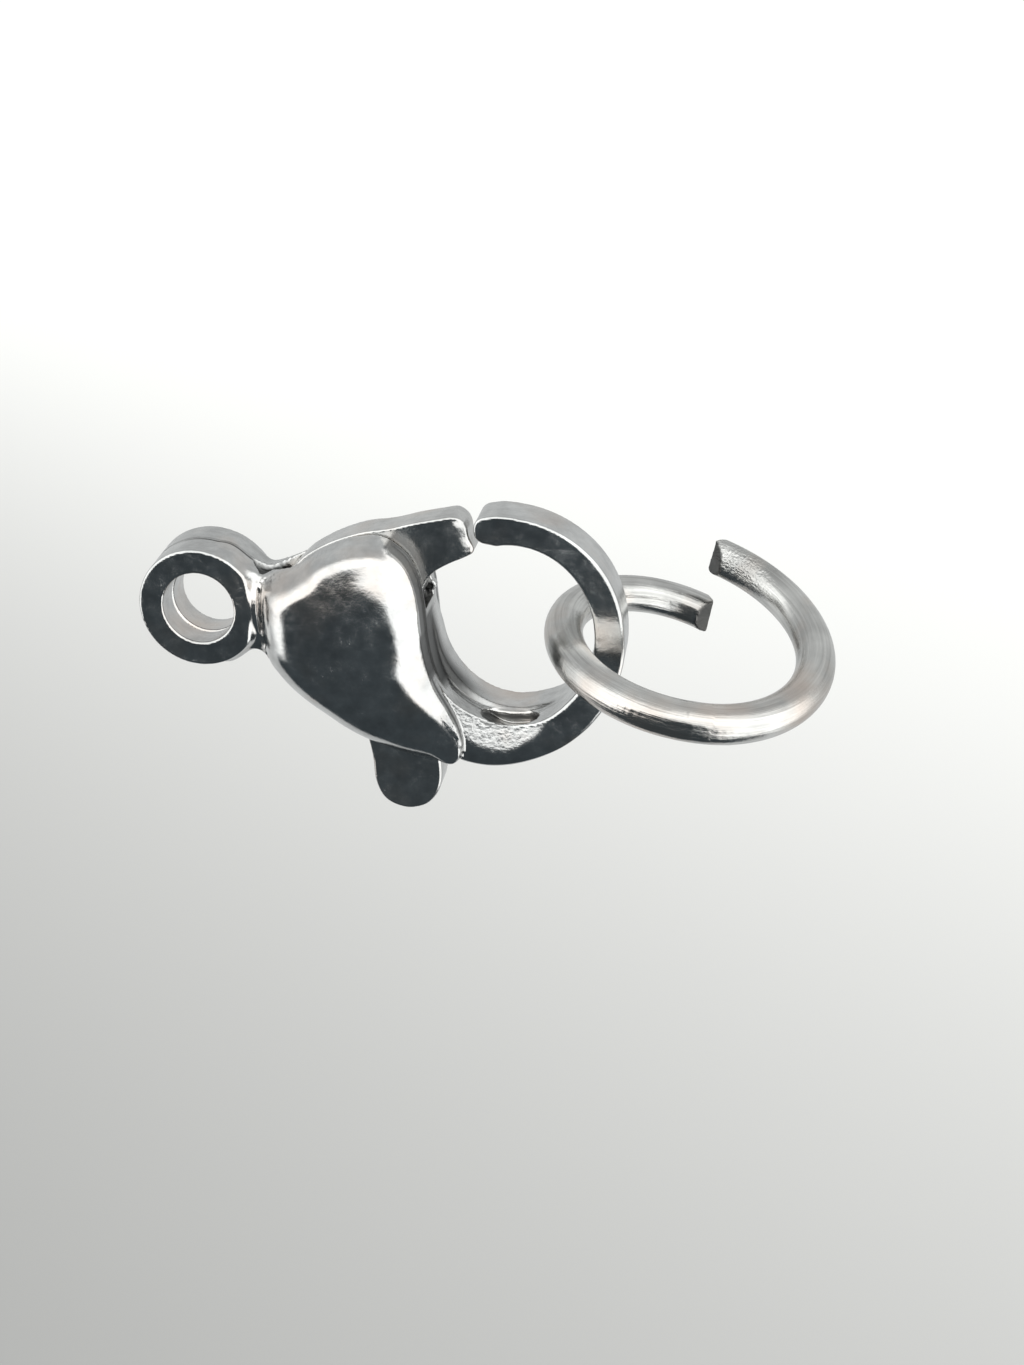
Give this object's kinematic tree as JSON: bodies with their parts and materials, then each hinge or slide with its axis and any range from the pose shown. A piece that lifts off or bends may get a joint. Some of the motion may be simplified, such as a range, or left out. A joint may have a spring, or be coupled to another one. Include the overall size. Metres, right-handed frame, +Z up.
{
  "type": "lobster clasp",
  "caption": "Lobster clasp with an eye, domed shells, a hook and a sprung lever gate, with an opened round-wire jump ring hanging on the hook.",
  "frame": {"origin": "centre of the eye's bore, halfway through its thickness", "axes": "+X from the eye to the hook, +Y along the eye's bore to the clasp's back, +Z up to the gate's side"},
  "size_m": [0.0171, 0.0071, 0.008],
  "materials": {
    "body_steel": "polished",
    "lever_steel": "polished",
    "pin_steel": "turned",
    "spring_steel": "rolled",
    "ring_steel": "drawn wire"
  },
  "bodies": {
    "body": {"body": "body_steel", "pivot_pin": "pin_steel", "spring": "spring_steel", "jump_ring": "ring_steel"},
    "lever": {"lever": "lever_steel"}
  },
  "joints": [
    {"name": "lever_hinge", "type": "hinge", "parent": "body", "child": "lever", "pos_m": [0.00409, 0, 0.00086], "axis": [0, 1, 0], "range_deg": [0, 25], "stiffness_Nm_per_rad": 0.01, "springref_deg": -45.84, "deforming": ["spring"]}
  ]
}
